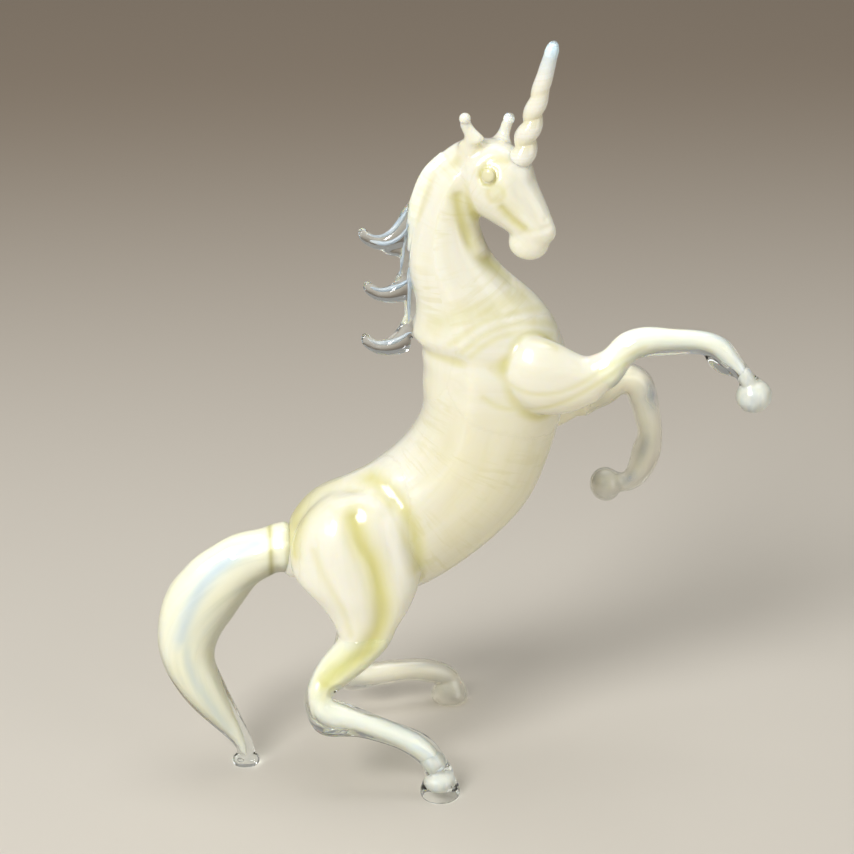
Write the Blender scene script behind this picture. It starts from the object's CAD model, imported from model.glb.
from math import cos, pi, radians, sin

import bmesh
import bpy
import numpy as np
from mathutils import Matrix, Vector


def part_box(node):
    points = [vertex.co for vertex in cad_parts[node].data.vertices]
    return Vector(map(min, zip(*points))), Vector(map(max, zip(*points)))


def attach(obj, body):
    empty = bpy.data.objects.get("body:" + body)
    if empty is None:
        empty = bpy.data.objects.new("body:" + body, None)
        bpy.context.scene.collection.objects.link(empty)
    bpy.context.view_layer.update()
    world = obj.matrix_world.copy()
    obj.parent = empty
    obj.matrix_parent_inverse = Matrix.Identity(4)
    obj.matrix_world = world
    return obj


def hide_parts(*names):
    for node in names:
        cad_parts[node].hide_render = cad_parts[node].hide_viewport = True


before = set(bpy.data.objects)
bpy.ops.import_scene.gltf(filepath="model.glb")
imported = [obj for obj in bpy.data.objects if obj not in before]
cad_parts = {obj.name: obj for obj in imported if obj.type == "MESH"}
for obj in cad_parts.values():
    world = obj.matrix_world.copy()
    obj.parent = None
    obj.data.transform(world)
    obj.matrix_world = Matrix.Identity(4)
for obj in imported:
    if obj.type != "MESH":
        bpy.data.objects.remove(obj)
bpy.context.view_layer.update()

# The body: torso, neck, head, chin, ears, shoulders and haunches are gathers of opal glass,
# laid on each other while soft and melted together in the flame. Each leg is drawn out of its
# shoulder or haunch, so the same opal runs on down the leg as a core inside clear glass.

MM = 0.001
BODY_NODES = ("torso", "neck", "head", "chin", "right_ear", "left_ear")
BODY_NODES += ("right_shoulder", "left_shoulder", "right_haunch", "left_haunch")
# The grain of a melted skin in millimetres, how many times it is softened, and how far each time.
BODY_MELT = (0.4, 12)
SOFTENING = 0.5
# Points of a gather that lie this close together are one point.
WELD = 0.001

SPINE = [
    (-27.7, 0, 40), (-17.4, 0, 41), (-8.4, 0, 44), (-1.5, 0, 49.2), (3.6, 0, 55.8), (6, 0, 64.8),
    (6.7, 0, 73), (4.3, 0, 81), (0.3, 0, 88.5), (-1.3, 0, 95), (-0.1, 0, 102), (2.6, 0, 106.1),
    (7, -2.5, 103.6), (11.6, -5.2, 98.4), (15.5, -7.5, 94.8)
]

# Each leg is a line through the middle of its glass, then the share of the leg's girth that its
# opal core fills and how far the core lies above the middle, at even steps down to the hoof.
LEGS = {
    "right_foreleg": (
        [
            (8.6, -7.4, 72.4), (16.1, -8.7, 72.1), (22.1, -9.9, 72.2), (25.6, -10.6, 75.6),
            (28.8, -11.1, 78.6), (35, -11.8, 78.8), (40.9, -12.5, 78.2), (43.6, -12.9, 76),
            (46.1, -13.3, 73.3), (47.1, -13.4, 71.5)
        ],
        (1, 1, 1, 1, 0.95, 0.86, 0.74, 0.68, 0.64, 0.56, 0.45),
        (0, 0, 0, 0, 0.15, 0.4, 0.6, 0.6, 0.5, 0.3, 0),
    ),
    "left_foreleg": (
        [
            (8.6, 7.4, 61.6), (16.1, 8.7, 61.3), (22.1, 9.9, 61.4), (27, 10.5, 62.4),
            (31, 11, 63.9), (33.4, 11.3, 61.6), (34.9, 11.7, 56), (35.1, 11.8, 51),
            (33.6, 11.8, 46.3), (31.2, 11.8, 44.1), (29.8, 11.8, 44.3)
        ],
        (1, 1, 1, 0.99, 0.9, 0.7, 0.5, 0.5, 0.46, 0.42, 0.36),
        (0, 0, 0, 0, 0, 0, 0, 0, 0, 0, 0),
    ),
    "right_hind_leg": (
        [
            (-17.2, -6, 48), (-17.2, -7.5, 39), (-15.5, -10, 31.5), (-16.5, -11.5, 26.2),
            (-20.2, -12.2, 22.4), (-23.5, -13.2, 18.8), (-24, -13.9, 16), (-21.9, -14.6, 14.2),
            (-17.6, -15.3, 13.6), (-11.3, -16.2, 11.4), (-6.7, -16.9, 9), (-4.3, -17.4, 5.6)
        ],
        (1, 1, 1, 1, 0.97, 0.86, 0.56, 0.6, 0.66, 0.62, 0.5),
        (0, 0, 0, 0, 0, 0.2, 0.7, 0.5, 0.2, 0, 0),
    ),
    "left_hind_leg": (
        [
            (-17, 6, 48), (-17, 7.5, 39), (-15.5, 10, 31.5), (-15.5, 11.7, 23), (-16.8, 12.7, 15.6),
            (-18.5, 13.7, 10), (-17.6, 14.3, 7.6), (-14.3, 15, 6.8), (-8.4, 15.8, 7),
            (-2.7, 16.7, 6.3), (0.6, 17.4, 4.6)
        ],
        (1, 1, 1, 1, 0.92, 0.78, 0.6, 0.54, 0.54, 0.5, 0.42),
        (0, 0, 0, 0, 0, 0, 0.2, 0, 0, 0, 0),
    ),
}

# Furrows drawn into the soft opal with a graphite tool: a path in millimetres, its half width and
# depth, and how green the thick glass under it looks. Trunk paths are forward and up, and head
# paths are in the head's own plane, forward and up from the poll.
POLL = np.array((2.64, 0, 106.1))
HEAD_FORWARD = np.array((cos(radians(30)), -sin(radians(30)), 0))
HEAD_RIGHT = np.array((-sin(radians(30)), -cos(radians(30)), 0))
JUGULAR = [
    (-0.3, 103), (0.5, 98.8), (1.3, 96.4), (3.1, 93.1), (5.3, 90.7), (7.9, 89.1), (10.3, 87.1)
]
THIGH = [
    (-17.9, 50.5), (-16.8, 45.3), (-14.6, 41.8), (-13.7, 38.0), (-13.1, 34.6), (-13.1, 31.3),
    (-14.8, 27.9)
]
RIGHT_SHANK = [(-15.9, 26.1), (-19.1, 24.2), (-22.2, 21.9), (-23.5, 19)]
LEFT_SHANK = [(-15.1, 24), (-15.7, 19), (-17.1, 14)]
CREST = [
    (-23.2, 51), (-20, 53), (-17.2, 53.8), (-13.3, 53.2), (-10.3, 51.4), (-8.3, 48.3), (-7.1, 44),
    (-6.3, 38)
]
COLLAR = [(-5.3, 79.2), (-1.5, 82.4), (3.2, 83.6), (8.1, 84.2), (13.2, 84.8), (16.9, 85.6)]
UNDER_ARM = [(3.4, 69.8), (6.5, 67.4), (11.5, 67), (17, 69.3), (22, 72.2), (27, 76.0)]
OVER_ARM = [(4.6, 74.6), (8.2, 71.4), (13, 70.4), (18.6, 71.8), (24, 75.4), (30, 78.8)]
SHOULDER = (9.5, 72)
ARC_ANGLES = np.radians((45, 70, 95, 120, 150))
SHOULDER_ARCS = [
    np.stack([reach * np.cos(ARC_ANGLES), 0.85 * reach * np.sin(ARC_ANGLES)], axis=1) + SHOULDER
    for reach in (9.4, 11.0, 13.2)
]
TRUNK_FURROWS = [
    (JUGULAR, 1.2, 0.55, 0.9, 0),
    (THIGH + RIGHT_SHANK, 2.0, 0.8, 1.0, -1),
    (THIGH + LEFT_SHANK, 2.0, 0.8, 1.0, 1),
    (CREST, 1.4, 0.24, 0.8, 0),
    (COLLAR, 1.6, 0.1, 0.35, 0),
    ([(-27.8, 41), (-27.3, 45), (-25.6, 48.6), (-22.8, 51.4), (-19, 53.2)], 1.3, 0.0, 0.8, "any"),
    (UNDER_ARM, 0.5, 0.08, 0.4, -1),
    (OVER_ARM, 0.45, 0.08, 0.35, -1),
    ([(4.0, 59.4), (8, 57.2), (14, 57.4), (20, 59.4), (25, 61.6)], 0.5, 0.08, 0.4, 1),
    ([(-24.6, 44), (-22.4, 38.6), (-19.4, 33.6), (-18.4, 28.8)], 0.7, 0.1, 0.3, 0),
    ([(3, 97), (4.8, 93.6), (7.4, 91.4), (11, 88.6)], 0.5, 0.1, 0.45, 0),
] + [(arc, 0.6, 0.07, 0.4, 0) for arc in SHOULDER_ARCS]
HEAD_FURROWS = [
    ([(7.0, -4.6), (8.2, -6.4), (9.6, -7.9), (11.3, -9.0)], 0.85, 0.4, 0.85, 0),
    ([(5.0, 1.8), (6.2, -1.6), (7.4, -4.4), (9.2, -7.2)], 1.5, 0.06, 0.38, 0),
    ([(3.4, -0.9), (3.7, 1.3), (5.3, 2.5), (8.1, 2.2)], 0.6, 0.22, 0.5, 0),
    ([(9.5, -9.9), (12.1, -8.9), (15.4, -8.0)], 0.5, 0.2, 0.12, 0),
    ([(13.3, -7.0), (13.9, -7.3)], 0.45, 0.2, 0.15, 0),
]
# Ring marks of the pressed eye: middle, radius, half width, depth and how green the ring looks.
RING_MARKS = [((5.0, -0.1), 1.45, 0.36, 0.34, 0.95), ((6.5, -2.9), 1.3, 0.6, 0.12, 0.5)]


def gathered(node):
    """A CAD gather as one closed shape: its points in millimetres and its triangles."""
    shape = bmesh.new()
    shape.from_mesh(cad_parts[node].data)
    bmesh.ops.remove_doubles(shape, verts=shape.verts, dist=WELD * MM)
    shape.verts.index_update()
    points = np.array([corner.co for corner in shape.verts]) / MM
    faces = np.array([[corner.index for corner in face.verts] for face in shape.faces])
    shape.free()
    return points, faces


def softened(line):
    """A hand-placed line with its corners cut off twice."""
    line = np.array(line, float)
    for turn in range(2):
        near, far = line[:-1], line[1:]
        cut = np.stack([near * 0.75 + far * 0.25, near * 0.25 + far * 0.75], axis=1)
        line = np.concatenate([line[:1], cut.reshape(-1, line.shape[1]), line[-1:]])
    return line


def along(points, line):
    """The nearest place on a softened line to each point, the run up to it, the line's length
    and how far the point lies above the line in the side view."""
    line = softened(line)
    gap = np.full(len(points), np.inf)
    place = np.zeros_like(points)
    run = np.zeros(len(points))
    side = np.zeros(len(points))
    start = 0.0
    for near, far in zip(line[:-1], line[1:]):
        step = far - near
        length = np.linalg.norm(step)
        share = np.clip((points - near) @ step / length**2, 0, 1)
        here = near + share[:, None] * step
        reach = np.linalg.norm(points - here, axis=1)
        closer = reach < gap
        gap = np.where(closer, reach, gap)
        place[closer] = here[closer]
        run = np.where(closer, start + share * length, run)
        if points.shape[1] == 3:
            out = np.cross(step / length, (0, 1, 0))
            side = np.where(closer, (points - here) @ out, side)
        start += length
    return gap, place, run, start, side


def drawn_in(points, line, girths, lifts=(0, 0)):
    """Points brought in towards the middle line to a share of their distance, and lifted."""
    gap, place, run, length, side = along(points, line)
    share = np.interp(run / length, np.linspace(0, 1, len(girths)), girths)
    lift = np.interp(run / length, np.linspace(0, 1, len(lifts)), lifts)
    return place + (points - place) * share[:, None] + lift[:, None] * np.array((0, 0, 1))


def drop(centre, radii, turn=0.0):
    """A drop of glass as points and triangles, with its three radii, turned in the side view."""
    shape = bmesh.new()
    bmesh.ops.create_icosphere(shape, subdivisions=4, radius=1.0)
    points = np.array([corner.co for corner in shape.verts]) * radii
    faces = np.array([[corner.index for corner in face.verts] for face in shape.faces])
    shape.free()
    angle = radians(turn)
    spin = np.array(((cos(angle), 0, -sin(angle)), (0, 1, 0), (sin(angle), 0, cos(angle))))
    return points @ spin.T + centre, faces


def smooth_shaded(mesh):
    mesh.polygons.foreach_set("use_smooth", [True] * len(mesh.polygons))


def shown(name, data):
    """An object that shows some data, at the middle of the scene."""
    piece = bpy.data.objects.new(name, data)
    bpy.context.collection.objects.link(piece)
    return piece


def new_piece(name, points, faces):
    """A smooth-shaded object whose place is in its mesh."""
    mesh = bpy.data.meshes.new(name)
    mesh.from_pydata((np.asarray(points) * MM).tolist(), [], np.asarray(faces).tolist())
    mesh.validate()
    smooth_shaded(mesh)
    return shown(name, mesh)


def points_of(mesh):
    flat = np.empty(len(mesh.vertices) * 3)
    mesh.vertices.foreach_get("co", flat)
    return flat.reshape(-1, 3) / MM


def move_points(mesh, points):
    mesh.vertices.foreach_set("co", (points * MM).ravel())
    mesh.update()


def normals_of(mesh):
    flat = np.empty(len(mesh.vertices) * 3)
    mesh.vertex_normals.foreach_get("vector", flat)
    return flat.reshape(-1, 3)


def edges_of(mesh):
    flat = np.empty(len(mesh.edges) * 2, dtype=int)
    mesh.edges.foreach_get("vertices", flat)
    return flat.reshape(-1, 2)


def neighbours(values, edges):
    """The mean of each point's neighbours, for rows of values."""
    near = np.concatenate([edges[:, 0], edges[:, 1]])
    far = np.concatenate([edges[:, 1], edges[:, 0]])
    count = np.bincount(near, minlength=len(values))
    total = [np.bincount(near, weights=column[far], minlength=len(values)) for column in values.T]
    return np.stack(total, axis=1) / np.maximum(count, 1)[:, None]


def evened(values, edges, rounds):
    """One value per point, averaged with its neighbours a few times."""
    for turn in range(rounds):
        values = neighbours(values[:, None], edges)[:, 0]
    return values


def ramp(values, start, span):
    """0 up to the start and 1 beyond the span, which runs downwards when it is negative."""
    return np.clip((values - start) / span, 0, 1)


def melted(name, shapes, grain, rounds):
    """One closed skin round all the shapes, softened as the flame softens a joint."""
    points = np.concatenate([shape[0] for shape in shapes])
    starts = np.cumsum([0] + [len(shape[0]) for shape in shapes[:-1]])
    faces = np.concatenate([shape[1] + start for shape, start in zip(shapes, starts)])
    piece = new_piece(name, points, faces)
    remesh = piece.modifiers.new("melt", "REMESH")
    remesh.mode = "VOXEL"
    remesh.voxel_size = grain * MM
    remesh.use_smooth_shade = True
    hot = piece.evaluated_get(bpy.context.evaluated_depsgraph_get())
    skin = bpy.data.meshes.new_from_object(hot)
    skin.name = name
    piece.modifiers.clear()
    piece.data = skin
    points, edges = points_of(skin), edges_of(skin)
    for turn in range(rounds):
        points += SOFTENING * (neighbours(points, edges) - points)
    move_points(skin, points)
    smooth_shaded(skin)
    return piece


def mark(piece, name, values):
    """Keeps a value or a direction at every point of a piece, for its material."""
    values = np.asarray(values, float)
    kind = "FLOAT" if values.ndim == 1 else "FLOAT_VECTOR"
    attribute = piece.data.attributes.new(name, kind, "POINT")
    attribute.data.foreach_set("value" if values.ndim == 1 else "vector", values.ravel())


# How far apart the runs of two lines of one piece start, in millimetres, so no streak repeats.
FLOW_STEP = 40


def mark_flow(piece, lines, twist=0.0):
    """Marks each point with its place in the drawn glass: two ways across, and the run."""
    points = points_of(piece.data)
    best = np.full(len(points), np.inf)
    flow = np.zeros((len(points), 3))
    for number, line in enumerate(lines):
        gap, place, run, length, side = along(points, line)
        closer = gap < best
        angle = run * twist
        level = (points - place)[:, 1]
        across = level * np.cos(angle) + side * np.sin(angle)
        out = side * np.cos(angle) - level * np.sin(angle)
        flow[closer] = np.stack([across, out, run + number * FLOW_STEP], axis=1)[closer]
        best = np.where(closer, gap, best)
    mark(piece, "flow", flow)


# How strong a furrow still is at its very ends.
BLUNT_END = 0.35


def furrowed(flat, facing, furrows, crease):
    """The push into the skin along each furrow, with the crease mark raised under it."""
    push = np.zeros(len(flat))
    for path, width, depth, green, side in furrows:
        gap, place, run, length, _ = along(flat, path)
        ends = np.clip(np.minimum(run, length - run) / width + BLUNT_END, 0, 1)
        mask = np.exp(-((gap / width) ** 2)) * ends * facing(side)
        push += depth * mask
        crease[:] = np.maximum(crease, green * mask)
    return push


# The clear strip of the mane is opal at its top, down to the first lock. Extra opal fills the
# crest and the roots of the horn, the tail and the ears, and keeps the ears full up to their tips.
CREST_LINE = [
    (-0.8, 0, 107.6), (-4.5, 0, 102.3), (-7.1, 0, 95), (-7.5, 0, 89.9), (-6.4, 0, 83.4),
    (-6.8, 0, 77)
]
CREST_GIRTHS = (1, 1, 0.98, 0.8, 0.4, 0.25, 0.16, 0.12, 0.1)
OPAL_FILLS = [
    ((0.2, 0, 107.5), (3.8, 2.0, 1.95), 36),
    ((9.7, -4.6, 105.3), (2.5, 2.6, 2.8)),
    ((-26.9, 0, 39.4), (2.3, 5.2, 5.3), -12),
]
EAR_END = 1.2
EAR_FILLS = ((0.1, 1.0), (0.22, 1.02), (0.38, 1.1))
ROOT_FILL = (1.9, 1.6, 1.4)
ROOT_INWARD, ROOT_SINK = (1, 0.88, 1), (0, 0, 0.7)
ROOT_ROUNDS, ROOT_REACH, ROOT_FADE = 10, 1.8, 1.6


def ear_summit(points):
    """The middle of an ear's uppermost part."""
    return points[points[:, 2] > points[:, 2].max() - EAR_END].mean(axis=0)


body_shapes = [gathered(node) for node in BODY_NODES] + [drop(*fill) for fill in OPAL_FILLS]
points, faces = gathered("mane_strip")
body_shapes.append((drawn_in(points, CREST_LINE, CREST_GIRTHS), faces))
roots = []
for ear in ("right_ear", "left_ear"):
    points, faces = gathered(ear)
    summit = ear_summit(points)
    base = points[points[:, 2] < points[:, 2].min() + EAR_END].mean(axis=0)
    for share, radius in EAR_FILLS:
        body_shapes.append(drop(summit + (base - summit) * share, (radius, radius, EAR_END)))
    roots.append(base * ROOT_INWARD - ROOT_SINK)
    body_shapes.append(drop(roots[-1], ROOT_FILL))
for leg, (line, girths, lifts) in LEGS.items():
    points, faces = gathered(leg)
    body_shapes.append((drawn_in(points, line, girths, lifts), faces))
body = melted("opal_body", body_shapes, *BODY_MELT)

# The ears flow out of the poll, so the skin is drawn smooth around their roots.
points, edges = points_of(body.data), edges_of(body.data)
root_gap = np.min([np.linalg.norm(points - root, axis=1) for root in roots], axis=0)
melt = np.clip(ROOT_REACH - root_gap / ROOT_FADE, 0, 1)[:, None]
for turn in range(ROOT_ROUNDS):
    points = points + (neighbours(points, edges) - points) * melt
move_points(body.data, points)

# Seams between two gathers are hollow, and look green. The other marks start and grow over the
# millimetres given here.
HOLLOW, HOLLOW_ROUNDS = (0.0008, 0.009), 12
HEAD_HEIGHT, HEAD_REACH = (91, 1.5), (1.5, 1.5)
EAR_TIPS = (111.5, 2.5)
CREAM_HEIGHT, CREAM_REACH = (76, -18), (-9, 8)
LEG_REACH, LEG_THIN = 5.5, (0.35, 0.65)
LAID_START, LAID_ROUNDS = (-3, 4), 10
normals = normals_of(body.data)
hollow = ((neighbours(points, edges) - points) * normals).sum(axis=1)
crease = ramp(evened(hollow, edges, HOLLOW_ROUNDS), *HOLLOW)

head_flat = np.stack([(points - POLL) @ HEAD_FORWARD, (points - POLL)[:, 2]], axis=1)
head_out = (points - POLL) @ HEAD_RIGHT
head_mask = ramp(points[:, 2], *HEAD_HEIGHT) * ramp(head_flat[:, 0], *HEAD_REACH)
trunk_flat = points[:, (0, 2)]


def on_trunk(side):
    """How squarely the skin faces one side of the trunk, either side for 0, or all for any."""
    if side == "any":
        return 1 - head_mask
    out = np.abs(normals[:, 1]) if side == 0 else normals[:, 1] * side
    return np.clip(out * 2.5, 0, 1) * (1 - head_mask)


def on_head(side):
    """How squarely the skin faces a cheek of the head; both cheeks are marked alike."""
    return np.clip(np.abs(normals @ HEAD_RIGHT) * 2, 0, 1) * head_mask * (np.abs(head_out) > 0.5)


push = furrowed(trunk_flat, on_trunk, TRUNK_FURROWS, crease)
push += furrowed(head_flat, on_head, HEAD_FURROWS, crease)
for middle, radius, width, depth, green in RING_MARKS:
    gap = np.linalg.norm(head_flat - np.array(middle), axis=1)
    ring = np.exp(-(((gap - radius) / width) ** 2)) * on_head(0)
    push += depth * ring
    crease = np.maximum(crease, green * ring)
move_points(body.data, points - normals * push[:, None])

# The opal is whitest where it is thick and lit, creamy low on the chest and belly, and thins to a
# blue white down the legs.
spine_gap = along(points, SPINE)[0]
thin = np.zeros(len(points))
leg_gap = np.full(len(points), np.inf)
LEG_LINES = [line for line, girths, lifts in LEGS.values()]
for line in LEG_LINES:
    gap, place, run, length, side = along(points, line)
    thin = np.where(gap < LEG_REACH, np.maximum(thin, ramp(run / length, *LEG_THIN)), thin)
    leg_gap = np.minimum(leg_gap, gap)
ear_tips = ramp(points[:, 2], *EAR_TIPS) * (points[:, 0] > 5)
cream = ramp(points[:, 2], *CREAM_HEIGHT) * ramp(points[:, 0], *CREAM_REACH)
cream *= np.clip(1.2 - thin * 3, 0, 1)
mark(body, "laid", evened(ramp(leg_gap - spine_gap, *LAID_START), edges, LAID_ROUNDS))
mark(body, "crease", crease)
mark(body, "thin", np.maximum(thin, ear_tips))
mark(body, "cream", cream)
mark_flow(body, [SPINE, CREST_LINE] + LEG_LINES)


def new_tree(name, kind, inputs, outputs):
    """An empty node tree with named sockets, and its two end nodes."""
    tree = bpy.data.node_groups.new(name, kind)
    for label, sort, *value in inputs:
        socket = tree.interface.new_socket(label, in_out="INPUT", socket_type="NodeSocket" + sort)
        if value:
            socket.default_value = value[0]
    for label, sort in outputs:
        tree.interface.new_socket(label, in_out="OUTPUT", socket_type="NodeSocket" + sort)
    return tree, tree.nodes.new("NodeGroupInput"), tree.nodes.new("NodeGroupOutput")


def feed(tree, socket, value):
    """Links a node's input to another socket, or sets it to a plain value."""
    if isinstance(value, bpy.types.NodeSocket):
        tree.links.new(value, socket)
    else:
        socket.default_value = value


def set_inputs(tree, node, values):
    """Feeds a node's inputs by their names."""
    for label, value in values.items():
        feed(tree, node.inputs[label], value)


def value_math(tree, operation, *values):
    """One math node on sockets or numbers."""
    node = tree.nodes.new("ShaderNodeMath")
    node.operation = operation
    for socket, value in zip(node.inputs, values):
        feed(tree, socket, value)
    return node.outputs[0]


def noise(tree, **values):
    """A noise texture's value, with its inputs given by name."""
    texture = tree.nodes.new("ShaderNodeTexNoise")
    set_inputs(tree, texture, values)
    return texture.outputs[0]


def cut_range(tree, value, low, high):
    """A socket's value, stretched so that low to high runs 0 to 1."""
    stretched = tree.nodes.new("ShaderNodeMapRange")
    set_inputs(tree, stretched, {"Value": value, "From Min": low, "From Max": high})
    return stretched.outputs[0]


# Streaks: glass drawn from a rod keeps long fine lines of denser and thinner opal along it.
STREAKS, given, made = new_tree(
    "drawn_streaks",
    "ShaderNodeTree",
    [("Flow", "Vector"), ("Fineness", "Float", 0.9), ("Stretch", "Float", 0.08)],
    [("Streak", "Float"), ("Cloud", "Float"), ("Ripple", "Float")],
)
flow = given.outputs["Flow"]
split = STREAKS.nodes.new("ShaderNodeSeparateXYZ")
feed(STREAKS, split.inputs[0], flow)
shorter = value_math(STREAKS, "MULTIPLY", split.outputs["Z"], given.outputs["Stretch"])
join = STREAKS.nodes.new("ShaderNodeCombineXYZ")
set_inputs(STREAKS, join, {"X": split.outputs["X"], "Y": split.outputs["Y"], "Z": shorter})
drawn, fineness = join.outputs[0], given.outputs["Fineness"]
streak = noise(STREAKS, Vector=drawn, Scale=fineness, Detail=3.0, Distortion=0.6)
cloud = noise(STREAKS, Vector=drawn, Scale=0.22, Detail=2.0, Distortion=1.2)
# Ripples: fine wavy lines across the draw, in patches, where a gather was laid on in turns.
RIPPLE_SQUASH = (0.16, 0.16, 1.0)
flatten = STREAKS.nodes.new("ShaderNodeVectorMath")
flatten.operation = "MULTIPLY"
flatten.inputs[1].default_value = RIPPLE_SQUASH
feed(STREAKS, flatten.inputs[0], flow)
ripple = noise(STREAKS, Vector=flatten.outputs[0], Scale=0.62, Detail=2.0, Distortion=1.4)
patch = cut_range(STREAKS, noise(STREAKS, Vector=flow, Scale=0.09), 0.42, 0.6)
ripple = value_math(STREAKS, "MULTIPLY", cut_range(STREAKS, ripple, 0.5, 0.66), patch)
streak = cut_range(STREAKS, streak, 0.42, 0.68)
set_inputs(STREAKS, made, {"Streak": streak, "Cloud": cloud, "Ripple": ripple})

GLASS_IOR = 1.5


def blank_material(name, fineness=0.9, stretch=0.08):
    """A material with its shader and its streaks, ready for colours."""
    material = bpy.data.materials.new(name)
    material.use_nodes = True
    tree = material.node_tree
    shader = tree.nodes["Principled BSDF"]
    shader.inputs["IOR"].default_value = GLASS_IOR
    flow = tree.nodes.new("ShaderNodeAttribute")
    flow.attribute_name = "flow"
    streaks = tree.nodes.new("ShaderNodeGroup")
    streaks.node_tree = STREAKS
    given = {"Flow": flow.outputs["Vector"], "Fineness": fineness, "Stretch": stretch}
    set_inputs(tree, streaks, given)
    return material, tree, shader, streaks


def mixed(tree, factor, under, over):
    """A colour mix; factor, under and over are each a socket or a plain value."""
    mix = tree.nodes.new("ShaderNodeMix")
    mix.data_type = "RGBA"
    for number, value in ((0, factor), (6, under), (7, over)):
        feed(tree, mix.inputs[number], value)
    return mix.outputs[2]


def times(tree, first, second):
    """The product of a socket and a socket or a plain value, held within 0 and 1."""
    product = value_math(tree, "MULTIPLY", first, second)
    product.node.use_clamp = True
    return product


def marked(tree, name, gain=1.0):
    """The value marked on the piece, times a gain, held within 0 and 1."""
    attribute = tree.nodes.new("ShaderNodeAttribute")
    attribute.attribute_name = name
    return times(tree, attribute.outputs["Fac"], gain)


def rippled(tree, shader, height, strength, depth):
    """A slight waviness in the skin, from a height that runs 0 to 1."""
    bump = tree.nodes.new("ShaderNodeBump")
    set_inputs(tree, bump, {"Strength": strength, "Distance": depth * MM, "Height": height})
    tree.links.new(bump.outputs[0], shader.inputs["Normal"])


def let_lamps_through(tree, shader, tint):
    """Lets the light of lamps through clear glass, to what lies inside and behind it."""
    path = tree.nodes.new("ShaderNodeLightPath")
    passing = tree.nodes.new("ShaderNodeBsdfTransparent")
    passing.inputs["Color"].default_value = tint
    choose = tree.nodes.new("ShaderNodeMixShader")
    ways = (path.outputs["Is Shadow Ray"], shader.outputs[0], passing.outputs[0])
    for socket, value in zip(choose.inputs, ways):
        tree.links.new(value, socket)
    tree.links.new(choose.outputs[0], tree.nodes["Material Output"].inputs["Surface"])


OPAL_WHITE = (0.87, 0.85, 0.72, 1)
OPAL_CREAM = (0.83, 0.78, 0.52, 1)
OPAL_GREEN = (0.70, 0.66, 0.21, 1)
OPAL_BLUE = (0.62, 0.72, 0.80, 1)
OPAL_MILK = (0.91, 0.90, 0.83, 1)
OPAL_LINE = (0.74, 0.70, 0.42, 1)

opal, tree, shader, streaks = blank_material("opal_glass", fineness=0.55, stretch=0.12)
colour = mixed(tree, marked(tree, "cream", 0.85), OPAL_WHITE, OPAL_CREAM)
cloudy = times(tree, streaks.outputs["Cloud"], 0.45)
colour = mixed(tree, cloudy, colour, OPAL_MILK)
colour = mixed(tree, times(tree, streaks.outputs["Streak"], 0.14), colour, OPAL_LINE)
laid_lines = times(tree, streaks.outputs["Ripple"], marked(tree, "laid", 0.4))
colour = mixed(tree, laid_lines, colour, OPAL_LINE)
blue = times(tree, marked(tree, "thin", 0.7), streaks.outputs["Streak"])
colour = mixed(tree, blue, colour, OPAL_BLUE)
colour = mixed(tree, marked(tree, "crease", 0.8), colour, OPAL_GREEN)
surface = {
    "Base Color": colour, "Roughness": 0.22, "Subsurface Weight": 0.85,
    "Subsurface Radius": (1.0, 0.88, 0.6), "Subsurface Scale": 2.0 * MM, "Coat Weight": 0.5,
    "Coat Roughness": 0.05
}
set_inputs(tree, shader, surface)
rippled(tree, shader, streaks.outputs["Cloud"], 0.5, 0.25)
body.data.materials.append(opal)
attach(body, "root")
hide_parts(*BODY_NODES)

# Leg glass: each leg is cased in clear glass from the elbow or the stifle down, and ends in a bead
# of the same glass for the hoof, so casing and hoof are one piece. The near fore pastern has a
# small web of clear glass behind it, left by the hot rod.

CASING_MELT = (0.26, 10)
START_FADE = (0.62, -0.3)
CASING_START = (0.93, 0.93, 0.93, 0.94, 0.98, 1, 1, 1, 1, 1, 1)
PASTERNS = {
    "right_foreleg": [
        ((42.4, -12.9, 75.5), (3.4, 1.1, 1.8), -38), ((47.3, -13.4, 71.6), (1.8, 1.75, 1.7))
    ],
    "left_foreleg": [((29.9, 11.8, 44.4), (1.75, 1.7, 1.7))],
    "right_hind_leg": [((-4.3, -17.3, 5.3), (2.35, 2.2, 1.7))],
    "left_hind_leg": [((0.2, 17.3, 4.6), (2.1, 2.0, 1.6))],
}
# Blue grey veins where the clear glass is thick: a path, its half width and how blue it looks.
FOREARM_VEIN = [
    (24.8, -11.4, 71.6), (27.6, -11.6, 74.4), (30.4, -11.9, 76.6), (35, -12.2, 77),
    (40, -12.7, 76.4)
]
VEINS = {
    "right_foreleg": [
        (FOREARM_VEIN, 0.8, 1.0),
        ([(40.4, -12.8, 76.8), (43, -13.2, 74.6), (45.4, -13.5, 72)], 0.7, 0.7),
    ],
    "left_foreleg": [
        ([(34.8, 9.4, 62.4), (35.6, 9.4, 60)], 1.7, 1.0),
        ([(34.4, 9.4, 53.2), (33.2, 9.4, 49.6)], 0.9, 0.5),
        ([(32.4, 10, 46.2), (31.2, 10, 45.2)], 0.8, 0.7),
    ],
    "right_hind_leg": [([(-24.6, -16, 15), (-22.4, -16.8, 12.2), (-18.4, -17.4, 11.6)], 1.0, 0.6)],
    "left_hind_leg": [([(-17.4, 12.4, 6.4), (-12, 13.4, 4.8)], 0.9, 0.5)],
}
HOOVES = {
    "right_foreleg": "right_fore_hoof",
    "left_foreleg": "left_fore_hoof",
    "right_hind_leg": "right_hind_hoof",
    "left_hind_leg": "left_hind_hoof",
}
CLEAR_TINT = (0.95, 0.97, 0.95, 1)
CLEAR_SMOKE = (0.84, 0.89, 0.92, 1)
CLEAR_BLUE = (0.32, 0.40, 0.54, 1)
CLEAR_SHADE = (0.90, 0.92, 0.92, 1)
VEIL_CREAM = (0.97, 0.94, 0.83, 1)
VEIL_SMOKE = (0.84, 0.82, 0.72, 1)
VEIL_START = (1.0, 0.98, 0.90, 1)
VEIL_BLUE = (0.26, 0.33, 0.52, 1)
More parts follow.
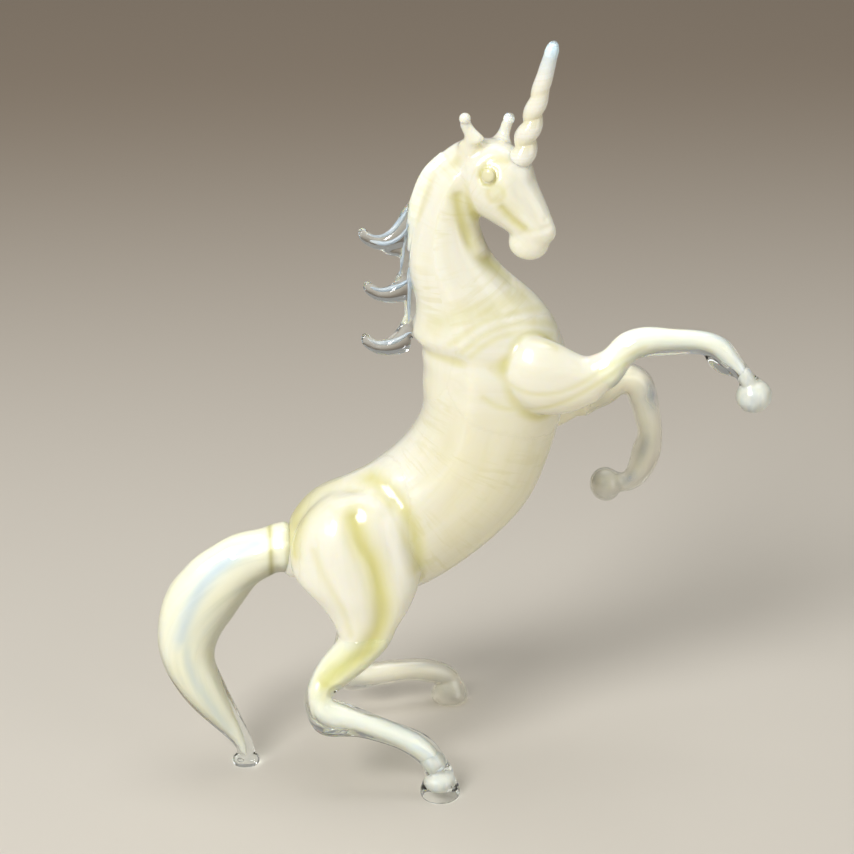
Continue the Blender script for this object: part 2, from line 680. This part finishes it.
VEIL_SHADE = (0.92, 0.91, 0.86, 1)

clear, tree, shader, streaks = blank_material("clear_glass", fineness=0.7)
colour = mixed(tree, times(tree, streaks.outputs["Streak"], 0.8), CLEAR_TINT, CLEAR_SMOKE)
colour = mixed(tree, marked(tree, "blue", 0.9), colour, CLEAR_BLUE)
set_inputs(tree, shader, {"Base Color": colour, "Roughness": 0.0, "Transmission Weight": 1.0})
rippled(tree, shader, streaks.outputs["Cloud"], 0.35, 0.2)
let_lamps_through(tree, shader, CLEAR_SHADE)

# The two far legs are cased in a thinly clouded glass.
veil, tree, shader, streaks = blank_material("veil_glass", fineness=0.8)
colour = mixed(tree, times(tree, streaks.outputs["Streak"], 0.6), VEIL_CREAM, VEIL_SMOKE)
colour = mixed(tree, marked(tree, "start", 1.0), colour, VEIL_START)
colour = mixed(tree, marked(tree, "blue", 0.95), colour, VEIL_BLUE)
surface = {
    "Base Color": colour, "Roughness": 0.26, "Transmission Weight": 0.68, "Coat Weight": 1.0,
    "Coat Roughness": 0.02
}
set_inputs(tree, shader, surface)
rippled(tree, shader, streaks.outputs["Cloud"], 0.35, 0.2)
let_lamps_through(tree, shader, VEIL_SHADE)


def veined(points, veins):
    """How near each point lies to a vein: a path, half width and strength, faded at its ends."""
    value = np.zeros(len(points))
    for path, width, strength in veins:
        gap, place, run, length, side = along(points, path)
        ends = np.clip(np.minimum(run, length - run) / (2 * width) + 0.5, 0, 1)
        value = np.maximum(value, strength * ends * np.exp(-((gap / width) ** 2)))
    return value


CASING_GLASS = {
    "right_foreleg": clear, "left_foreleg": veil, "right_hind_leg": clear, "left_hind_leg": veil
}

for leg, (line, girths, lifts) in LEGS.items():
    points, faces = gathered(leg)
    shapes = [(drawn_in(points, line, CASING_START), faces), gathered(HOOVES[leg])]
    shapes += [drop(*pastern) for pastern in PASTERNS[leg]]
    casing = melted(leg + "_glass", shapes, *CASING_MELT)
    points = points_of(casing.data)
    gap, place, run, length, side = along(points, line)
    mark(casing, "start", ramp(run / length, *START_FADE))
    mark(casing, "blue", veined(points, VEINS[leg]))
    mark_flow(casing, [line])
    casing.data.materials.append(CASING_GLASS[leg])
    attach(casing, "root")
    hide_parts(leg, HOOVES[leg])

# Hoof hearts: a wisp of opal caught inside each clear hoof bead, where the end of the leg's core
# was melted in with the bead. It lies wholly inside the glass and trails up into the pastern.

HEART_MELT = (0.2, 14)
WISP_CREAM = (0.94, 0.92, 0.82, 1)
HEARTS = {
    "right_fore_hoof": [
        ((47.9, -13.5, 69.6), (2.3, 2.2, 2.2)), ((46.6, -13.3, 72.6), (2.2, 1.0, 1.0), -61)
    ],
    "left_fore_hoof": [
        ((27.9, 11.8, 44.8), (1.9, 1.8, 1.8)), ((30.4, 11.8, 44.3), (1.8, 1.0, 1.0), -8)
    ],
    "right_hind_hoof": [
        ((-3.9, -17.4, 2.7), (2.2, 2.1, 1.8)), ((-5.0, -17.1, 6.4), (2.4, 1.4, 1.4), -55)
    ],
    "left_hind_hoof": [
        ((1.0, 17.4, 2.5), (1.9, 1.9, 1.6)), ((-0.6, 17.2, 5.2), (2.2, 1.2, 1.2), -27)
    ],
}
wisp, tree, shader, streaks = blank_material("opal_wisp", fineness=1.1)
colour = mixed(tree, times(tree, streaks.outputs["Streak"], 0.35), WISP_CREAM, OPAL_BLUE)
surface = {
    "Base Color": colour, "Roughness": 0.35, "Transmission Weight": 0.3, "Subsurface Weight": 0.6,
    "Subsurface Radius": (1.0, 0.9, 0.7), "Subsurface Scale": 1.5 * MM
}
set_inputs(tree, shader, surface)
for hoof, blobs in HEARTS.items():
    centre = np.array(blobs[0][0])
    heart = melted(hoof + "_heart", [drop(*blob) for blob in blobs], *HEART_MELT)
    mark_flow(heart, [[centre - (0, 0, 3), centre + (0, 0, 3)]])
    heart.data.materials.append(wisp)
    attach(heart, "root")

# Eyes: the end of a small tube, pressed into each soft cheek, leaves a dome of greenish opal
# inside a ring. The dome is fused to the cheek all round.

EYES = {"right_eye": 1, "left_eye": -1}
EYE_STEPS = 48
EYE_PROUD = 0.2
EYE_PALE = (0.83, 0.80, 0.58, 1)
EYE_GREEN = (0.76, 0.72, 0.38, 1)
DOME_RADIUS = 1.05
DOME_PROFILE = [
    (0, 0.26), (0.3, 0.25), (0.6, 0.19), (0.85, 0.09), (1.0, -0.06), (1.02, -0.3), (0.7, -0.6),
    (0, -0.7)
]
eye_glass, tree, shader, streaks = blank_material("eye_glass", fineness=1.4)
colour = mixed(tree, streaks.outputs["Cloud"], EYE_PALE, EYE_GREEN)
set_inputs(tree, shader, {"Base Color": colour, "Roughness": 0.08, "Coat Weight": 0.5})
for name, side in EYES.items():
    low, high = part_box(name)
    middle = (np.array(low) + np.array(high)) / 2 / MM
    seat = middle + HEAD_RIGHT * side * EYE_PROUD
    points, faces = [], []
    for radius, height in DOME_PROFILE[1:-1]:
        for step in range(EYE_STEPS):
            angle = 2 * pi * step / EYE_STEPS
            across = HEAD_FORWARD * cos(angle) * side + np.array((0, 0, 1)) * sin(angle)
            points.append(seat + across * radius * DOME_RADIUS + HEAD_RIGHT * side * height)
    top, bottom = len(points), len(points) + 1
    points.append(seat + HEAD_RIGHT * side * DOME_PROFILE[0][1])
    points.append(seat + HEAD_RIGHT * side * DOME_PROFILE[-1][1])
    last = (len(DOME_PROFILE) - 3) * EYE_STEPS
    for row in range(0, last, EYE_STEPS):
        for step in range(EYE_STEPS):
            after = (step + 1) % EYE_STEPS
            below = row + EYE_STEPS
            faces.append((row + step, below + step, below + after, row + after))
    shape = bmesh.new()
    corners = [shape.verts.new(Vector(point) * MM) for point in points]
    for face in faces:
        shape.faces.new([corners[index] for index in face])
    for step in range(EYE_STEPS):
        after = (step + 1) % EYE_STEPS
        shape.faces.new((corners[top], corners[step], corners[after]))
        shape.faces.new((corners[bottom], corners[last + after], corners[last + step]))
    bmesh.ops.recalc_face_normals(shape, faces=shape.faces)
    mesh = bpy.data.meshes.new(name + "_dome")
    shape.to_mesh(mesh)
    shape.free()
    smooth_shaded(mesh)
    dome = shown(name + "_dome", mesh)
    mark_flow(dome, [[seat - HEAD_RIGHT, seat + HEAD_RIGHT]])
    dome.data.materials.append(eye_glass)
    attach(dome, "root")
    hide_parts(name)

# Horn: a cane of opal and clear glass, twisted while hot and pulled to a point, and fused to the
# forehead. The twist fades into a smooth clear end, with a long drop on the tip.

HORN_ROOT = Vector((9.77, -4.12, 106.33))
HORN_UP = Vector((0.231, -0.134, 0.964))
HORN_LENGTH = 21.8
HORN_BASE = 2.45
HORN_TIP = 0.98
HORN_PITCH = 4.4
HORN_GROOVE = 0.34
HORN_SIDES, HORN_RINGS = 72, 260
HORN_TWIST = 1.6
TWIST_FADE = {"From Min": 0.35, "From Max": 0.85, "To Min": 1.0, "To Max": 0.0}
CANE_BLUE = (0.62, 0.76, 0.86, 1)
CANE_THIN = (0.72, 0.28)
CANE_CLOSING = (0.93, 0.07)


def painted(tree, given, made, shape):
    """The end of a geometry tree: what it made becomes a real mesh and gets its glass."""
    real = tree.nodes.new("GeometryNodeRealizeInstances")
    paint = tree.nodes.new("GeometryNodeSetMaterial")
    tree.links.new(shape, real.inputs[0])
    tree.links.new(real.outputs[0], paint.inputs["Geometry"])
    tree.links.new(given.outputs["Glass"], paint.inputs["Material"])
    tree.links.new(paint.outputs[0], made.inputs[0])


def shaped(piece, tree, **settings):
    """Runs a geometry tree on a piece and keeps the result as its plain mesh."""
    modifier = piece.modifiers.new(tree.name, "NODES")
    modifier.node_group = tree
    for item in tree.interface.items_tree:
        if item.item_type == "SOCKET" and item.in_out == "INPUT" and item.name in settings:
            modifier[item.identifier] = settings[item.name]
    hot = piece.evaluated_get(bpy.context.evaluated_depsgraph_get())
    mesh = bpy.data.meshes.new_from_object(hot)
    name = piece.name
    bpy.data.objects.remove(piece)
    mesh.name = name
    smooth_shaded(mesh)
    return shown(name, mesh)


cane, given, made = new_tree(
    "twisted_cane",
    "GeometryNodeTree",
    [
        ("Geometry", "Geometry"),
        ("Length", "Float", HORN_LENGTH * MM),
        ("Base", "Float", HORN_BASE * MM),
        ("Tip", "Float", HORN_TIP * MM),
        ("Pitch", "Float", HORN_PITCH * MM),
        ("Depth", "Float", HORN_GROOVE),
        ("Glass", "Material"),
    ],
    [("Geometry", "Geometry")],
)
tube = cane.nodes.new("GeometryNodeMeshCylinder")
tube.fill_type = "TRIANGLE_FAN"
long_way = given.outputs["Length"]
set_inputs(cane, tube, {"Vertices": HORN_SIDES, "Side Segments": HORN_RINGS})
set_inputs(cane, tube, {"Radius": 1.0, "Depth": long_way})
place = cane.nodes.new("GeometryNodeInputPosition")
apart = cane.nodes.new("ShaderNodeSeparateXYZ")
cane.links.new(place.outputs[0], apart.inputs[0])
height = value_math(cane, "ADD", apart.outputs["Z"], value_math(cane, "MULTIPLY", long_way, 0.5))
share = value_math(cane, "DIVIDE", height, long_way)
girth_range = cane.nodes.new("ShaderNodeMapRange")
taper = {"Value": share, "To Min": given.outputs["Base"], "To Max": given.outputs["Tip"]}
set_inputs(cane, girth_range, taper)
turn_angle = value_math(cane, "ARCTAN2", apart.outputs["Y"], apart.outputs["X"])
turns = value_math(cane, "DIVIDE", height, given.outputs["Pitch"])
turns = value_math(cane, "MULTIPLY", turns, 2 * pi)
phase = value_math(cane, "MULTIPLY", value_math(cane, "SUBTRACT", turn_angle, turns), 0.5)
ridge = value_math(cane, "ABSOLUTE", value_math(cane, "COSINE", phase))
fade = cane.nodes.new("ShaderNodeMapRange")
fade.interpolation_type = "SMOOTHSTEP"
set_inputs(cane, fade, {"Value": share, **TWIST_FADE})
bite = value_math(cane, "SUBTRACT", 1.0, ridge)
bite = value_math(cane, "MULTIPLY", bite, given.outputs["Depth"])
bite = value_math(cane, "MULTIPLY", bite, fade.outputs[0])
kept = value_math(cane, "SUBTRACT", 1.0, bite)
girth = value_math(cane, "MULTIPLY", girth_range.outputs[0], kept)
together = cane.nodes.new("ShaderNodeCombineXYZ")
for way in "XY":
    feed(cane, together.inputs[way], value_math(cane, "MULTIPLY", apart.outputs[way], girth))
feed(cane, together.inputs["Z"], height)
settle = cane.nodes.new("GeometryNodeSetPosition")
set_inputs(cane, settle, {"Geometry": tube.outputs["Mesh"], "Position": together.outputs[0]})
painted(cane, given, made, settle.outputs[0])

cane_glass, tree, shader, streaks = blank_material("cane_glass", fineness=1.2, stretch=0.25)
colour = mixed(tree, streaks.outputs["Streak"], OPAL_WHITE, OPAL_MILK)
colour = mixed(tree, marked(tree, "groove", 0.7), colour, OPAL_CREAM)
colour = mixed(tree, marked(tree, "thin", 0.9), colour, CANE_BLUE)
surface = {
    "Base Color": colour, "Roughness": 0.1, "Subsurface Weight": 0.3,
    "Subsurface Radius": (1.0, 0.85, 0.6), "Subsurface Scale": 1.0 * MM, "Coat Weight": 0.7,
    "Coat Roughness": 0.03
}
set_inputs(tree, shader, surface)
rippled(tree, shader, streaks.outputs["Streak"], 0.3, 0.08)

horn = new_piece("horn_cane", [(0, 0, 0), (1, 0, 0), (0, 1, 0)], [(0, 1, 2)])
horn = shaped(horn, cane, Glass=cane_glass)
points = points_of(horn.data)
share = points[:, 2] / HORN_LENGTH
girth = np.linalg.norm(points[:, :2], axis=1)
full = HORN_BASE + (HORN_TIP - HORN_BASE) * share
mark(horn, "groove", np.clip((1 - girth / full) / 0.25, 0, 1) * (girth > 0.05))
mark(horn, "thin", ramp(share, *CANE_THIN))
spin = HORN_UP.normalized().to_track_quat("Z", "Y").to_matrix()
closing = ramp(share, *CANE_CLOSING)
points[:, :2] *= np.sqrt(1 - closing**2)[:, None] * 0.97 + 0.03 * (1 - closing)[:, None]
points = points @ np.array(spin).T + np.array(HORN_ROOT)
move_points(horn.data, points)
mark_flow(horn, [[HORN_ROOT, HORN_ROOT + HORN_UP * 21]], twist=HORN_TWIST)
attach(horn, "root")
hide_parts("horn")

HORN_DROP, DROP_HEIGHT, DROP_FLARE = (1.12, 1.12, 2.1), 20.2, 0.06
points, faces = drop((0, 0, 0), HORN_DROP)
points[:, :2] *= 1 + DROP_FLARE * np.clip(-points[:, 2:] / 2, 0, 1)
points = points @ np.array(spin).T + np.array(HORN_ROOT + HORN_UP * DROP_HEIGHT)
tip = new_piece("horn_drop", points, faces)
mark_flow(tip, [[HORN_ROOT, HORN_ROOT + HORN_UP * 24]])
tip.data.materials.append(clear)
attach(tip, "root")
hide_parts("horn_tip")

# Ear drops: each ear ends in a round drop, where the pinch of glass was pulled off in the flame.
# The near ear's drop is opal and the far ear's is clear.

DROP_SINK = (0, 0, 0.15)
EAR_DROPS = {"right_ear": (0.95, opal, "opal_glass"), "left_ear": (0.94, clear, "clear_glass")}
for ear, (radius, glass, slot) in EAR_DROPS.items():
    points, faces = gathered(ear)
    summit = ear_summit(points)
    bead = new_piece(ear + "_drop", *drop(summit - DROP_SINK, (radius, radius, radius)))
    mark_flow(bead, [[summit - (0, 0, 3), summit + (0, 0, 3)]])
    bead.data.materials.append(glass)
    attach(bead, "root")

# Mane: a clear strip laid down the crest of the neck, with three hooked locks pulled out of it,
# each full at its root and ending in a drop. Threads of blue grey opal run through them.

MANE_NODES = ("mane_strip", "upper_lock", "middle_lock", "lower_lock")
MANE_MELT = (0.2, 10)
LOCK_ENDS = [(-15.0, 0, 95.0), (-14.3, 0, 85.9), (-14.7, 0, 76.8)]
LOCK_DROP = (0.8, 0.85, 0.85)
MANE_FILLS = [
    ((-6.6, 0, 80), (1.4, 1.5, 2.4), 10),
    ((-7.7, 0, 97.9), (2.8, 1.0, 1.15), 59),
    ((-8.5, 0, 87.1), (2.3, 0.95, 1.1), 62),
    ((-9.7, 0, 91.8), (2.3, 0.85, 1.0), -8),
    ((-7.9, 0, 79.3), (1.6, 0.9, 0.9), 60),
]
mane_shapes = [gathered(node) for node in MANE_NODES]
mane_shapes += [drop(end, LOCK_DROP) for end in LOCK_ENDS]
mane_shapes += [drop(*fill) for fill in MANE_FILLS]
mane = melted("mane_glass", mane_shapes, *MANE_MELT)
LOCK_LINES = [
    [
        (-7, 0, 97.1), (-8.5, 0, 95), (-10.6, 0, 93.5), (-12.3, 0, 93.2), (-14.1, 0, 94),
        (-15.1, 0, 95)
    ],
    [
        (-6.3, 0, 88), (-7.8, 0, 86), (-9.8, 0, 84.5), (-11.6, 0, 84.2), (-13.4, 0, 84.9),
        (-14.4, 0, 85.9)
    ],
    [
        (-6.7, 0, 78.8), (-8.2, 0, 76.8), (-10.3, 0, 75.3), (-12, 0, 75), (-13.8, 0, 75.8),
        (-14.8, 0, 76.8)
    ],
]
mark_flow(mane, [CREST_LINE] + LOCK_LINES)
mane.data.materials.append(clear)
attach(mane, "root")
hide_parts(*MANE_NODES)

THREAD_RADIUS = 0.3
THREAD_STEPS, THREAD_SIDES = 48, 10
thread, given, made = new_tree(
    "drawn_thread",
    "GeometryNodeTree",
    [("Geometry", "Geometry"), ("Thickness", "Float", THREAD_RADIUS * MM), ("Glass", "Material")],
    [("Geometry", "Geometry")],
)
even = thread.nodes.new("GeometryNodeResampleCurve")
set_inputs(thread, even, {"Curve": given.outputs["Geometry"], "Count": THREAD_STEPS})
along_thread = thread.nodes.new("GeometryNodeSplineParameter")
swell = value_math(thread, "MULTIPLY", along_thread.outputs["Factor"], pi)
swell = value_math(thread, "SINE", swell)
swell = value_math(thread, "POWER", value_math(thread, "MAXIMUM", swell, 0.0), 0.5)
swell = value_math(thread, "ADD", swell, 0.05)
swell = value_math(thread, "MULTIPLY", swell, given.outputs["Thickness"])
round_profile = thread.nodes.new("GeometryNodeCurvePrimitiveCircle")
set_inputs(thread, round_profile, {"Resolution": THREAD_SIDES, "Radius": 1.0})
sweep = thread.nodes.new("GeometryNodeCurveToMesh")
swept = {"Curve": even.outputs[0], "Profile Curve": round_profile.outputs["Curve"]}
set_inputs(thread, sweep, {**swept, "Scale": swell, "Fill Caps": True})
painted(thread, given, made, sweep.outputs[0])


def threads(name, paths, thickness, glass):
    """Threads of opal along hand-placed paths, as one plain mesh."""
    curve = bpy.data.curves.new(name, "CURVE")
    curve.dimensions = "3D"
    for path in paths:
        spline = curve.splines.new("NURBS")
        spline.points.add(len(path) - 1)
        for point, spot in zip(spline.points, path):
            point.co = (*(np.array(spot) * MM), 1)
        spline.use_endpoint_u = True
        spline.order_u = 4
    return shaped(shown(name, curve), thread, Thickness=thickness * MM, Glass=glass)


SMOKE_BLUE = (0.60, 0.70, 0.80, 1)
SMOKE_WHITE = (0.88, 0.90, 0.90, 1)
smoke_opal, tree, shader, streaks = blank_material("smoke_opal", fineness=1.5)
colour = mixed(tree, streaks.outputs["Streak"], SMOKE_BLUE, SMOKE_WHITE)
set_inputs(tree, shader, {"Base Color": colour, "Roughness": 0.3, "Transmission Weight": 0.45})

MANE_THREADS = [
    [(-6.2, 0.4, 99.6), (-7.9, 0.4, 96.4), (-8.2, 0.3, 92.5), (-8.1, 0.3, 89.5), (-8.9, 0.3, 87)],
    [(-7.5, -0.4, 90), (-7.6, -0.4, 86.5), (-7.3, -0.4, 83), (-7.4, -0.4, 79.5)],
    [
        (-7.4, 0.4, 99), (-8.3, 0.4, 97), (-9.5, 0.5, 95), (-11.4, 0.3, 93.9), (-13.5, 0.1, 94),
        (-14.5, 0, 94.7)
    ],
    [
        (-7.4, -0.5, 96.6), (-8.3, -0.5, 94.8), (-9.8, -0.5, 93.5), (-11.9, -0.3, 92.9),
        (-13.9, -0.1, 93.7)
    ],
    [
        (-6.9, 0.3, 87.2), (-8.5, 0.4, 85.6), (-10.7, 0.3, 84.6), (-12.7, 0.1, 84.7),
        (-13.9, 0, 85.6)
    ],
    [
        (-7.3, 0.2, 77.8), (-8.9, 0.3, 76.2), (-11.1, 0.2, 75.3), (-13.1, 0.1, 75.5),
        (-14.3, 0, 76.5)
    ],
]
mane_threads = threads("mane_threads", MANE_THREADS, THREAD_RADIUS, smoke_opal)
mark_flow(mane_threads, [CREST_LINE] + LOCK_LINES)
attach(mane_threads, "root")

# Tail: a clear casing fused to the rump by a ring of glass, arched back and down over a milky
# core, and curled under where its end was melted to a foot. Blue grey opal streaks its top.

TAIL_LINE = [
    (-27.7, 0, 39.9), (-31.3, 0, 39), (-35.7, -0.4, 37.4), (-40.2, -0.9, 33.8), (-44.6, -1.5, 28.2),
    (-46, -2.2, 22.4), (-44.5, -2.8, 16.8), (-41.1, -3.4, 10.8), (-37.4, -3.8, 5.4),
    (-36.3, -4, 1.5)
]
TAIL_MELT = (0.24, 12)
TAIL_TWIST = 0.05
tail_shapes = [gathered(node) for node in ("tail_casing", "tail_foot", "tail_collar")]
tail = melted("tail_glass", tail_shapes, *TAIL_MELT)
mark_flow(tail, [TAIL_LINE], twist=TAIL_TWIST)
tail.data.materials.append(clear)
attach(tail, "root")
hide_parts("tail_casing", "tail_foot", "tail_collar")

CORE_GIRTHS = (0.96, 0.93, 0.9, 0.88, 0.86, 0.84, 0.8, 0.74, 0.62, 0.45, 0.2)
core_shapes = []
for node in ("tail_casing", "tail_collar"):
    points, faces = gathered(node)
    core_shapes.append((drawn_in(points, TAIL_LINE, CORE_GIRTHS), faces))
CORE_MELT = (0.28, 10)
tail_core = melted("tail_milk", core_shapes, *CORE_MELT)
TAIL_TOP = [
    (-32, -2.6, 42.2), (-37, -3.2, 40.2), (-42.2, -3.6, 35.8), (-45.6, -4, 29.8), (-47, -4.2, 24)
]
TAIL_BACK = [(-46.2, -4.4, 26), (-45.8, -4.8, 19.6), (-42.2, -5, 12.4), (-38.7, -4.8, 6.6)]
TAIL_STREAKS = [(TAIL_TOP, 1.2, 1.0), (TAIL_BACK, 0.8, 0.5)]
TAIL_UNDER = [(-41.2, -4.8, 22), (-39.9, -5, 16), (-37.8, -5, 10.4), (-36.4, -4.8, 5.8)]
TAIL_FOLD = [(TAIL_UNDER, 0.4, 0.6)]
# The rear and the front weld of the collar: how far back each lies and its half width. The rear
# one ends at a height of its own.
WELDS, WELD_FOOT = ((-31.2, 0.45), (-28.4, 0.5)), 30
points = points_of(tail_core.data)
mark(tail_core, "blue", veined(points, TAIL_STREAKS))
rear, front = (np.exp(-(((points[:, 0] - at) / width) ** 2)) for at, width in WELDS)
weld = np.maximum(rear * (points[:, 2] > WELD_FOOT), 0.5 * front)
mark(tail_core, "crease", np.maximum(weld, veined(points, TAIL_FOLD)))
mark_flow(tail_core, [TAIL_LINE], twist=TAIL_TWIST)
MILK_CREAM = (0.84, 0.80, 0.60, 1)
MILK_STRAW = (0.76, 0.73, 0.52, 1)
MILK_BLUE = (0.52, 0.60, 0.66, 1)
MILK_GREEN = (0.50, 0.46, 0.18, 1)
milk, tree, shader, streaks = blank_material("milk_glass", fineness=0.8, stretch=0.05)
colour = mixed(tree, streaks.outputs["Streak"], MILK_CREAM, MILK_STRAW)
colour = mixed(tree, times(tree, streaks.outputs["Cloud"], 0.7), colour, OPAL_MILK)
colour = mixed(tree, marked(tree, "blue", 0.85), colour, MILK_BLUE)
colour = mixed(tree, marked(tree, "crease", 0.8), colour, MILK_GREEN)
surface = {
    "Base Color": colour, "Roughness": 0.3, "Subsurface Weight": 0.6,
    "Subsurface Radius": (1.0, 0.9, 0.65), "Subsurface Scale": 2.0 * MM
}
set_inputs(tree, shader, surface)
tail_core.data.materials.append(milk)
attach(tail_core, "root")
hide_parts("tail_core")

# Bubbles: air caught in the glass as it was melted together. A long one lies in the near hock, and
# small ones in the near hind hoof, the far hind leg, the near fore pastern and the tail's foot.

BUBBLES = {
    "hock_bubble": ((-21.3, -15.9, 12.7), (2.3, 0.6, 0.6), 6),
    "right_hind_bubble": ((-2.7, -18.6, 2.2), (0.55, 0.5, 0.7), 20),
    "left_hind_bubble": ((-14.0, 14.2, 5.6), (0.9, 0.6, 0.5), 10),
    "right_fore_bubble": ((42.9, -13.2, 75.4), (0.9, 0.35, 0.3), -40),
    "tail_foot_bubble": ((-37.2, -4.6, 1.5), (0.6, 0.4, 0.35), 0),
}
AIR_CLEAR, AIR_BLUE = (1, 1, 1, 1), (0.94, 0.97, 1, 1)
AIR_IN_GLASS = 0.667
air, tree, shader, streaks = blank_material("trapped_air")
colour = mixed(tree, streaks.outputs["Cloud"], AIR_CLEAR, AIR_BLUE)
surface = {"Base Color": colour, "IOR": AIR_IN_GLASS, "Roughness": 0.0, "Transmission Weight": 1.0}
set_inputs(tree, shader, surface)
for name, (centre, radii, turn) in BUBBLES.items():
    bubble = new_piece(name, *drop(centre, radii, turn))
    mark_flow(bubble, [np.array(centre) + [(-3, 0, 0), (3, 0, 0)]])
    bubble.data.materials.append(air)
    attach(bubble, "root")

# The table: a plain pale floor that fills the view, a little deeper in tone towards the back. The
# figure stands on it, and a pale even room lies round it.

FLOOR_SIZE = 6.0
FLOOR_DEEP = 0.5
PAPER_NEAR = (0.64, 0.60, 0.53, 1)
PAPER_FAR = (0.30, 0.24, 0.18, 1)
PAPER_ROUGHNESS = 0.6
ROOM = (0.80, 0.78, 0.74, 1)
ROOM_STRENGTH = 0.36
floor = new_piece(
    "floor",
    np.array([(-1, -1, 0), (1, -1, 0), (1, 1, 0), (-1, 1, 0)]) * FLOOR_SIZE / 2 / MM,
    [(0, 1, 2, 3)],
)
paper = bpy.data.materials.new("pale_paper")
paper.use_nodes = True
tree = paper.node_tree
shader = tree.nodes["Principled BSDF"]
shader.inputs["Roughness"].default_value = PAPER_ROUGHNESS
spot = tree.nodes.new("ShaderNodeTexCoord")
away = tree.nodes.new("ShaderNodeSeparateXYZ")
depth = tree.nodes.new("ShaderNodeMapRange")
depth.interpolation_type = "SMOOTHSTEP"
feed(tree, away.inputs[0], spot.outputs["Object"])
set_inputs(tree, depth, {"Value": away.outputs["Y"], "From Min": 0.0, "From Max": FLOOR_DEEP})
colour = mixed(tree, depth.outputs[0], PAPER_NEAR, PAPER_FAR)
feed(tree, shader.inputs["Base Color"], colour)
floor.data.materials.append(paper)

world = bpy.data.worlds.new("room")
bpy.context.scene.world = world
world.use_nodes = True
background = world.node_tree.nodes["Background"]
set_inputs(world.node_tree, background, {"Color": ROOM, "Strength": ROOM_STRENGTH})

# Lights: a soft key panel high at the front left, a wide one overhead and a low fill at the front
# right, all aimed at the middle of the figure. The camera stands where the photo was taken from.

PANELS = [
    ("key_panel", (-0.45, -0.48, 0.62), (0.32, 0.32), 5.7),
    ("top_panel", (0.05, 0.15, 0.95), (0.70, 0.50), 2.5),
    ("fill_panel", (0.65, -0.50, 0.32), (0.50, 0.60), 1.3),
]
AIM = (0, 0, 0.062)


def aimed(name, data, spot, aim):
    """A lamp or a camera at a spot, turned towards its aim."""
    placed = shown(name, data)
    placed.location = spot
    placed.rotation_euler = (Vector(aim) - Vector(spot)).to_track_quat("-Z", "Y").to_euler()
    return placed


for name, spot, size, power in PANELS:
    lamp = bpy.data.lights.new(name, "AREA")
    lamp.shape = "RECTANGLE"
    lamp.size, lamp.size_y = size
    lamp.energy = power
    aimed(name, lamp, spot, AIM)

# Camera: at the photo's own angle, 450 mm from the middle of the figure.
CAMERA_SPOT = Vector((-40.75, -414.14, 228.57)) * MM
CAMERA_AIM = Vector((-4.38, 1.5, 60)) * MM
LENS, SENSOR = 112.9, 36
lens = bpy.data.cameras.new("camera")
lens.lens, lens.sensor_width = LENS, SENSOR
bpy.context.scene.camera = aimed("camera", lens, CAMERA_SPOT, CAMERA_AIM)
bpy.context.scene.view_settings.view_transform = "Standard"
